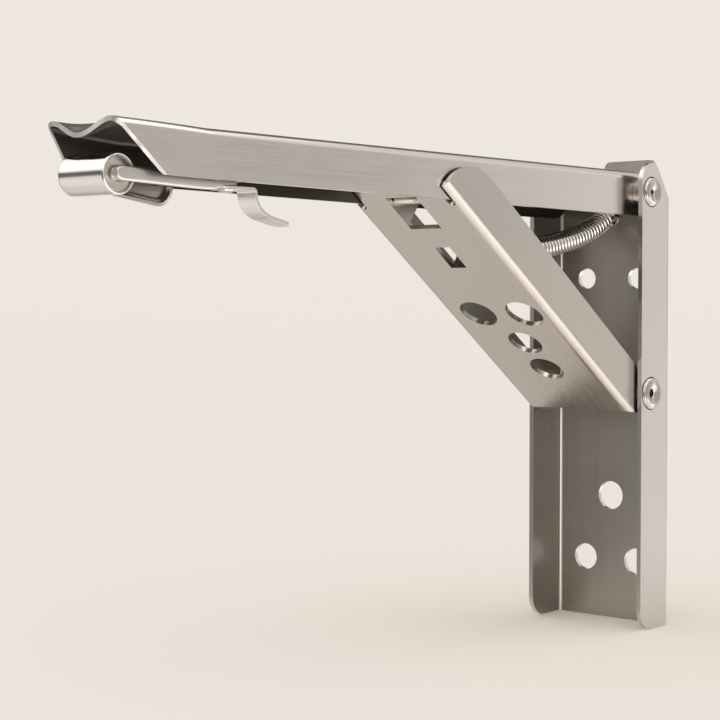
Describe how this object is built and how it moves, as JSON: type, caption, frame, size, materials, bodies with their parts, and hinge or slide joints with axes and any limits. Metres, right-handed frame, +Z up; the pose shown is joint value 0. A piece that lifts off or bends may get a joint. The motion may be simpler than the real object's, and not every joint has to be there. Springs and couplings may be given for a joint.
{
  "type": "folding shelf bracket",
  "caption": "Wall bracket whose channel arm carries a shelf, is propped by a strut hooked on a sprung pull latch, and folds flat down against the wall plate.",
  "frame": {"origin": "midway between the two upper wall screw holes, on the face that meets the wall", "axes": "+Y is square out of the plate's back into the wall, +Z is up and square to the shelf face, and the arm reaches along -Y"},
  "size_m": [0.0616, 0.3086, 0.2025],
  "materials": {
    "plate_steel": "satin stainless, brushed along its length",
    "arm_steel": "fine brushed stainless, grain along the arm",
    "strut_steel": "satin stainless with brighter bends",
    "latch_steel": "satin stainless",
    "rivet_steel": "polished stainless",
    "rod_steel": "drawn bright wire",
    "grip_steel": "polished stainless",
    "spring_steel": "bright spring wire"
  },
  "bodies": {
    "wall_side": {"wall_plate": "plate_steel", "arm_pivot_rivet": "rivet_steel", "strut_pivot_rivets": "rivet_steel", "arm_pivot_spacers": "rivet_steel", "strut_pivot_washers": "rivet_steel", "spring_stud": "rivet_steel", "assist_spring": "spring_steel"},
    "arm_side": {"arm": "arm_steel", "latch_guide_studs": "rivet_steel", "latch_spring": "spring_steel"},
    "strut_side": {"strut": "strut_steel", "catch_pin": "rivet_steel"},
    "latch_side": {"latch_bar": "latch_steel", "pull_rod": "rod_steel", "grip_barrel": "grip_steel", "grip_caps": "grip_steel", "thumb_paddle": "latch_steel", "latch_rivet": "rivet_steel", "finger_leaf": "grip_steel"}
  },
  "joints": [
    {"name": "arm_fold", "type": "hinge", "parent": "wall_side", "child": "arm_side", "pos_m": [0, -0.016, 0.0365], "axis": [1, 0, 0], "range_deg": [0, 90], "deforming": ["finger_leaf"]},
    {"name": "strut_fold", "type": "hinge", "parent": "wall_side", "child": "strut_side", "pos_m": [0, -0.016, -0.0495], "axis": [1, 0, 0], "range_deg": [0, 125.5], "deforming": ["assist_spring"]},
    {"name": "latch_pull", "type": "slide", "parent": "arm_side", "child": "latch_side", "axis": [0, -1, 0], "range_m": [0, 0.004], "stiffness_N_per_m": 400, "springref_m": -0.01, "deforming": ["latch_spring"]}
  ],
  "couplings": [
    {"joint": "strut_fold", "follows": "arm_fold", "ratio": 1.3944}
  ]
}
